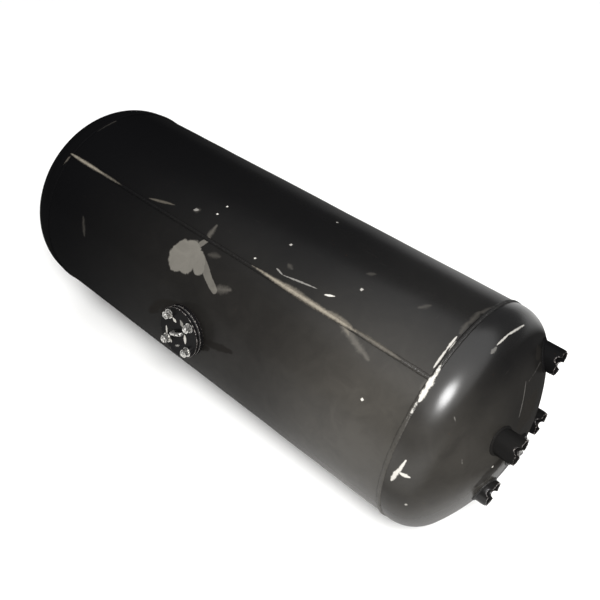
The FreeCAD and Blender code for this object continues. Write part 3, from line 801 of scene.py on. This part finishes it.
# %% Welds along paths
def weld_mesh(name, points, facings, sizes, paint, closed, seed):
    """Plain mesh of a weld along points; sizes are (pitch, width, height, lap) in millimetres."""
    count = len(points)
    path = bpy.data.meshes.new(name + "_path")
    steps = [(i, (i + 1) % count) for i in range(count if closed else count - 1)]
    path.from_pydata([tuple(p) for p in points], steps, [])
    ways = path.attributes.new("facing", "FLOAT_VECTOR", "POINT")
    ways.data.foreach_set("vector", np.array(facings).ravel())
    carrier = bpy.data.objects.new(name + "_path", path)
    bpy.context.scene.collection.objects.link(carrier)
    modifier = carrier.modifiers.new("weld", "NODES")
    modifier.node_group = WELD
    pitch, width, height, lap = sizes
    values = {"Pitch": pitch * MM, "Width": width * MM, "Height": height * MM, "Lap": lap,
              "Seed": seed, "Paint": paint}
    for socket in WELD.interface.items_tree:
        if socket.name in values:
            modifier[socket.identifier] = values[socket.name]
    graph = bpy.context.evaluated_depsgraph_get()
    mesh = bpy.data.meshes.new_from_object(carrier.evaluated_get(graph), depsgraph=graph)
    mesh.name = name
    bpy.data.objects.remove(carrier)
    mesh.shade_smooth()
    return mesh


def round_weld(name, x, seed):
    """Butt weld round the tank. The tank lies on it, so its underside is worn flat."""
    turns = range(0, 360, 2)
    points = [AXIS + Vector((x, 0, 0)) + outward(t) * (RADIUS - 0.2) * MM for t in turns]
    mesh = weld_mesh(name, points, [outward(t) for t in turns], ROUND_BEAD, weld_paint, True, seed)
    for vertex in mesh.vertices:
        vertex.co.z = max(vertex.co.z, 0.0)
    return mesh


def fillet_weld(name, centre, radius, seed):
    """Weld in the corner where a pipe stands on the feet head, at (back, up) from the axis."""
    points, facings = [], []
    for turn in np.linspace(0, 2 * math.pi, 48, endpoint=False):
        back, up = math.cos(turn), math.sin(turn)
        y, z = centre[0] + back * (radius + 0.8), centre[1] + up * (radius + 0.8)
        off = math.hypot(y, z)
        lean = off / CROWN if off < 235 else 0.9
        plate = Vector((math.cos(lean), math.sin(lean) * y / max(off, 1), math.sin(lean) * z / max(off, 1)))
        points.append(AXIS + Vector((NEAR + (head_station(off) + 0.6) * MM, y * MM, z * MM)))
        facings.append((plate + Vector((0, back, up))).normalized())
    return weld_mesh(name, points, facings, FILLET, small_weld_paint, True, seed)


add_piece(round_weld("weld_round_at_feet", NEAR, 3), "weld_bead", "feet_head_seam")
add_piece(round_weld("weld_round_at_far_end", FAR, 5), "weld_bead", "plain_head_seam")
long_line = [spot(s, SEAM_ANGLE) for s in np.linspace(LENGTH - 6, 6, 40)]
long_facings = [outward(SEAM_ANGLE)] * len(long_line)
long_weld = weld_mesh("weld_along_shell", long_line, long_facings, LONG_BEAD, weld_paint, False, 8)
add_piece(long_weld, "weld_bead", "shell_seam")

# %% [markdown]
# ## The four feet
#
# Each foot is a stub of 60 mm pipe. Two half-round grooves cross its free end at right angles, which
# leaves four notches in the rim. The ends were sawn off by hand, so no two feet are the same length.
# The rim is a little ragged, and the paint is chipped there.

# %% Notched pipe
FEET = {1: (150, 138, -14), 2: (-70, 89, 28), 3: (-78, -74, 7), 4: (152, -67, -7)}
FOOT_OUT, FOOT_IN = 30.15, 26.55
NOTCH, NOTCH_ANGLE = 8.5, 38


def foot_mesh(index):
    """Pipe from the curve of the head out to a notched, ragged end, reach past the head's crown."""
    back, up, reach = FEET[index]
    end = CROWN_REACH + reach
    turns = np.linspace(0, 2 * math.pi, 216, endpoint=False)
    way = np.stack([np.cos(turns), np.sin(turns)], -1)
    notch = outward(NOTCH_ANGLE).yz
    waves = [noise.noise(Vector((*w * 6, index * 9.0))) for w in way]
    teeth = [noise.noise(Vector((*w * 17, index * 5.0))) for w in way]
    ragged = np.array(waves) + np.array(teeth) * 0.5

    def rim(radius, inset):
        height = end - inset - np.clip(ragged + 0.3, 0, None) * 0.9
        for direction in (notch, notch.orthogonal()):
            off = np.abs(way @ np.array(direction.orthogonal())) * radius
            cut = np.sqrt(np.clip((NOTCH + inset * 0.5) ** 2 - off**2, 0, None))
            height = np.minimum(height, end - inset - cut)
        return height

    def seat(radius, sunk):
        offs = np.hypot(back + way[:, 0] * radius, up + way[:, 1] * radius)
        return np.array([head_station(off) for off in offs]) - sunk

    levels = []
    for radius, share, inset, edge in (
            *((FOOT_OUT, share, 0.0, 0.0) for share in (0.0, 0.25, 0.5, 0.7, 0.82, 0.9)),
            (FOOT_OUT, None, 3.0, 0.25), (FOOT_OUT, None, 0.7, 1.0), (FOOT_OUT - 0.6, None, 0.0, 1.0),
            (FOOT_IN + 0.5, None, 0.0, 1.0), (FOOT_IN, None, 0.6, 1.0), (FOOT_IN, None, 3.5, 0.2),
            *((FOOT_IN, share, 0.0, 0.0) for share in (0.8, 0.4, 0.0))):
        low, high = seat(radius, 1.5), rim(radius, inset)
        height = high if share is None else low + (rim(radius, 4.0) - low) * share
        points = np.stack([radius * way[:, 0] + back, radius * way[:, 1] + up, height], -1)
        levels.append((points, edge))
    rings = np.array([p for p, _ in levels])
    back, up, out = (rings[..., i] * MM for i in range(3))
    rings = np.stack([out + NEAR, back + AXIS.y, up + AXIS.z], -1)
    return ring_mesh(f"foot_pipe_{index}", rings, [e for _, e in levels], foot_paint, 40)


# %% Show the feet and their welds
for index, (back, up, _) in FEET.items():
    add_piece(foot_mesh(index), "tank_paint", f"foot_{index}")
    weld = fillet_weld(f"foot_pipe_{index}_weld", (back, up), FOOT_OUT, 20 + index)
    add_piece(weld, "weld_bead", f"foot_{index}_weld")

# %% [markdown]
# ## The drain
#
# The lowest point of the standing tank is the middle of this head. A heavy socket is welded into it,
# and a hexagon bush screwed into the socket brings it down to a small thread. A hexagon's corners are
# turned off at 30 degrees, which leaves the curved lines that every nut has.


# %% Sockets, hexagons and threads
def hexagon(name, across_flats, height, bore, place, material, turn=0.0):
    """A nut or a bolt head: six flats, corners turned off at both ends, a plain bore."""
    flat = across_flats / 2
    turns = np.linspace(0, 2 * math.pi, 72, endpoint=False)
    edge_radius = flat / np.cos((turns + math.pi / 6) % (math.pi / 3) - math.pi / 6)
    drop = np.clip(edge_radius - flat * 0.97, 0, None) * math.tan(math.radians(30))
    lower = [(bore, 1.2, 0.3), (bore + 1.0, 0.0, 1.0), (flat * 0.8, 0.0, 0.0), (flat * 0.97, 0.0, 0.6),
             (edge_radius, drop, 1.0), (edge_radius, drop + 0.7, 0.7), (edge_radius, drop + 2.0, 0.0)]
    upper = [(radius, height - level, edge) for radius, level, edge in reversed(lower)]
    rings, edges = [], []
    for radius, level, edge in lower + upper:
        radius, level = radius * np.ones(72), level * np.ones(72)
        rings.append(np.stack([radius * np.cos(turns + turn), radius * np.sin(turns + turn), level], -1))
        edges.append(edge)
    return ring_mesh(name, placed(rings, place), edges, material, 25)


def screw(name, radius, length, pitch, place, material, rounds=48):
    """A rod with a real helical thread and a chamfer at both ends."""
    turns = np.linspace(0, 2 * math.pi, rounds, endpoint=False)
    levels = np.linspace(0, length, int(length / pitch * 8))
    saw = np.abs((levels[:, None] / pitch - turns[None, :] / (2 * math.pi)) % 1.0 - 0.5) * 2
    ends = np.clip(1.2 - np.minimum(levels, length - levels), 0, None)[:, None]
    radii = np.minimum(radius - saw * pitch * 0.5, radius - ends)
    rings = np.stack([radii * np.cos(turns), radii * np.sin(turns), levels[:, None] * np.ones(rounds)], -1)
    foot = np.zeros((1, rounds, 3))
    rings = np.concatenate([foot, rings, foot + (0, 0, length)])
    return ring_mesh(name, placed(rings, place), np.zeros(len(rings)), material, 50)


print("an 18 mm nut is", round(18 / math.cos(math.pi / 6), 2), "mm across its corners")

# %% The socket and its bush
SOCKET_REACH, SOCKET_DEPTH = 4.5, 10.0
BUSH_FLATS, BUSH_HEAD, BUSH_BORE, BUSH_LENGTH = 65.0, 4.5, 9.3, 22.0
crown_x = NEAR + CROWN_REACH * MM
socket_profile = bevelled([(SOCKET_OUT, 0), (SOCKET_OUT, SOCKET_DEPTH + SOCKET_REACH),
                           (SOCKET_BORE, SOCKET_DEPTH + SOCKET_REACH), (SOCKET_BORE, 0)], 0.8, 2.5)
socket = turned("drain_ring", socket_profile, along_tank(crown_x - SOCKET_DEPTH * MM), fitting_paint, 120)
add_piece(socket, "tank_paint", "drain_socket")
add_piece(fillet_weld("drain_ring_weld", (0, 0), SOCKET_OUT, 31), "weld_bead", "drain_socket_weld")

bush_place = along_tank(crown_x + SOCKET_REACH * MM)
bush_head = hexagon("bush_head", BUSH_FLATS, BUSH_HEAD, BUSH_BORE, bush_place, bush_steel, 0.12)
thread_profile = bevelled([(SOCKET_BORE - 0.1, 0), (SOCKET_BORE - 0.1, -BUSH_LENGTH),
                           (BUSH_BORE, -BUSH_LENGTH), (BUSH_BORE, 0)])
bush_thread = turned("bush_thread", thread_profile, bush_place, bush_steel, 96)
add_piece(joined("bush_in_drain", [bush_head, bush_thread]), "bush_steel", "drain_bush")

# %% [markdown]
# ## The hand hole
#
# Low on the front a short neck is welded into the shell. A flange, a rubber gasket and a blind cover
# sit on it, held by four studs. Each stud shows a few turns of thread over its nut. A bent bar on the
# cover is the handle: it lifts the cover off once the nuts are undone.

# %% Neck, flange, gasket and cover
PORT_STATION, PORT_ANGLE = 578, 77
NECK_OUT, NECK_IN, FLANGE_OUT, BOLT_CIRCLE = 30.15, 26.55, 64.0, 98.0
STUD, WASHER, NUT, STUD_PAST_NUT = 6.0, 2.5, 10.8, 4.0
FLANGE_LOW = RADIUS + 9.0
GASKET_LOW = FLANGE_LOW + 9.0
COVER_LOW = GASKET_LOW + 2.0
COVER_HIGH = COVER_LOW + 9.0


def port_place(radius, across=(0, 0), turn=0):
    """Place that stands out of the shell at the hand hole, its X along the tank."""
    out, along = outward(PORT_ANGLE), Vector((1, 0, 0))
    x_axis = Matrix.Rotation(math.radians(turn), 3, out) @ along
    sideways = along * across[0] + out.cross(along) * across[1]
    origin = spot(PORT_STATION, PORT_ANGLE, radius) + sideways * MM
    return local_place(origin, out, x_axis)


def disc(name, low, high, outside, inside, material, bevel):
    """A flat ring, or a solid disc if inside is nothing, standing on the hand hole's line."""
    corners = [(outside, 0), (outside, high - low), (inside, high - low), (inside, 0)]
    return turned(name, bevelled(corners, bevel), port_place(low), material, 128)


discs = (
    ("neck", RADIUS - WALL - 6, GASKET_LOW, NECK_OUT, NECK_IN, fitting_paint, 0.8, "tank_paint"),
    ("flange", FLANGE_LOW, GASKET_LOW, FLANGE_OUT, NECK_OUT + 0.2, fitting_paint, 0.8, "tank_paint"),
    ("gasket", GASKET_LOW, COVER_LOW, FLANGE_OUT - 0.3, NECK_OUT, gasket_rubber, 0.5, "gasket"),
    ("cover", COVER_LOW, COVER_HIGH, FLANGE_OUT, 0.0, fitting_paint, 1.0, "tank_paint"),
)
for part, low, high, outside, inside, paint, bevel, slot in discs:
    add_piece(disc(f"hand_hole_{part}", low, high, outside, inside, paint, bevel), slot, f"port_{part}")

# %% The weld round the neck
line, facings = [], []
for turn in np.linspace(0, 2 * math.pi, 48, endpoint=False):
    reach = NECK_OUT + 0.8
    angle = PORT_ANGLE - math.degrees(math.asin(math.sin(turn) * reach / RADIUS))
    point = spot(PORT_STATION, angle) + (Vector((math.cos(turn) * reach, 0, 0)) + outward(angle) * 0.6) * MM
    from_neck = point - spot(PORT_STATION, PORT_ANGLE)
    from_neck -= outward(PORT_ANGLE) * from_neck.dot(outward(PORT_ANGLE))
    line.append(point)
    facings.append((outward(angle) + from_neck.normalized()).normalized())
neck_weld = weld_mesh("hand_hole_neck_weld", line, facings, FILLET, small_weld_paint, True, 41)
add_piece(neck_weld, "weld_bead", "port_neck_weld")

# %% Studs, washers and nuts
studs, washers, nuts = [], [], []
for index, (x, y) in enumerate(((1, 1), (-1, 1), (-1, -1), (1, -1))):
    across = (x * BOLT_CIRCLE / 2 / math.sqrt(2), y * BOLT_CIRCLE / 2 / math.sqrt(2))
    on_cover, on_washer = port_place(COVER_HIGH, across), port_place(COVER_HIGH + WASHER, across)
    length = COVER_HIGH + WASHER + NUT + STUD_PAST_NUT - FLANGE_LOW
    studs.append(screw(f"stud_{index}", STUD, length, 1.75, port_place(FLANGE_LOW, across), bolt_steel))
    ring = bevelled([(12, 0), (12, WASHER), (6.75, WASHER), (6.75, 0)], 0.4, 1.0)
    washers.append(turned(f"washer_{index}", ring, on_cover, bolt_steel, 48))
    nuts.append(hexagon(f"nut_{index}", 18.0, NUT, STUD + 0.1, on_washer, bolt_steel, 0.4 + index * 0.8))
for part, meshes in (("studs", studs), ("washers", washers), ("nuts", nuts)):
    add_piece(joined(f"hand_hole_{part}", meshes), "bare_steel", f"port_{part}")


# %% The handle
def bent_bar(name, points, radius, place, material, rounds=28):
    """A round bar bent through points in the local XZ plane, with filled ends."""
    line = [Vector(p) for p in points]
    turns = np.linspace(0, 2 * math.pi, rounds, endpoint=False)
    rings = []
    for index, here in enumerate(line):
        ahead = (line[min(index + 1, len(line) - 1)] - line[max(index - 1, 0)]).normalized()
        side = Vector((0, 1, 0))
        rise = ahead.cross(side)
        rings.append([tuple(here + (rise * math.cos(t) + side * math.sin(t)) * radius) for t in turns])
    rings = np.array([[tuple(line[0])] * rounds] + rings + [[tuple(line[-1])] * rounds])
    return ring_mesh(name, placed(rings, place), np.zeros(len(rings)), material, 50)


half, rise, bend = 17.5, 9.5, 6.0
bend_turns = np.linspace(0, math.pi / 2, 8)
left = [(-half, 0, 0), (-half, 0, (rise - bend) * 0.5)]
left += [(-half + bend * (1 - math.cos(t)), 0, rise - bend + bend * math.sin(t)) for t in bend_turns]
handle_line = left + [(-x, y, z) for x, y, z in reversed(left)]
handle = bent_bar("hand_hole_handle", handle_line, 4.5, port_place(COVER_HIGH, turn=25), handle_steel)
add_piece(handle, "bare_steel", "port_handle")

# %% [markdown]
# ## Floor, light and camera
#
# The tank lies on a plain pale floor. One soft lamp hangs near the viewer and makes the highlight on
# the near knuckle; a high wide one lights the floor. Both are on the side of the feet, because a lamp
# at the far end would be mirrored along the whole shell. The camera looks down over the feet end.


# %% Lamps and sky
def add_lamp(name, kind, energy, size, position, target):
    """A lamp aimed at a target; size is a disc's diameter, or a sun's angle."""
    data = bpy.data.lights.new(name, kind)
    data.energy = energy
    if kind == "AREA":
        data.shape, data.size = "DISK", size
    else:
        data.angle = size
    lamp = bpy.data.objects.new(name, data)
    lamp.location = position
    lamp.rotation_mode = "QUATERNION"
    lamp.rotation_quaternion = (Vector(target) - Vector(position)).to_track_quat("-Z", "Y")
    bpy.context.scene.collection.objects.link(lamp)


highlight = spot(-41, 34)
add_lamp("near_lamp", "AREA", 62, 0.8, highlight + Vector((0.3735, -0.459, 0.807)) * 1.9, highlight)
add_lamp("high_lamp", "SUN", 3.0, math.radians(100), (0.5, -0.3, 3), (0, 0, 0))
world = bpy.data.worlds.new("room")
world.use_nodes = True
sky = world.node_tree.nodes["Background"].inputs
sky["Color"].default_value, sky["Strength"].default_value = (0.55, 0.57, 0.6, 1), 0.2
bpy.context.scene.world = world
bpy.context.scene.view_settings.view_transform = "Standard"
print(len(bpy.data.lights), "lamps")

# %% Floor
floor_mesh = bpy.data.meshes.new("floor")
floor_mesh.from_pydata([(-30, -30, 0), (30, -30, 0), (30, 30, 0), (-30, 30, 0)], [], [(0, 1, 2, 3)])
pale = Finish.material("pale_floor")
floor_mesh.materials.append(pale.surface(Base_Color=(0.93, 0.925, 0.91, 1), Roughness=0.85))
floor = bpy.data.objects.new("floor", floor_mesh)
bpy.context.scene.collection.objects.link(floor)
print("floor", [round(side, 1) for side in floor.dimensions], "m")

# %% Camera
PAN, LOOK_DOWN, ROLL = (math.radians(d) for d in (41.8, 43.27, 0.63))
camera_data = bpy.data.cameras.new("camera")
camera_data.sensor_width, camera_data.lens = 36.0, 42.68
camera = bpy.data.objects.new("camera", camera_data)
aim = (Matrix.Rotation(PAN, 4, "Z") @ Matrix.Rotation(math.pi / 2 - LOOK_DOWN, 4, "X")
       @ Matrix.Rotation(ROLL, 4, "Z"))
stand = AXIS + Vector((NEAR, 0, 0)) + Vector((0.3982, -0.9649, 1.2585))
camera.matrix_world = Matrix.Translation(stand) @ aim
bpy.context.scene.collection.objects.link(camera)
bpy.context.scene.camera = camera
print("camera", round((stand - AXIS).length, 2), "m from the middle of the tank")
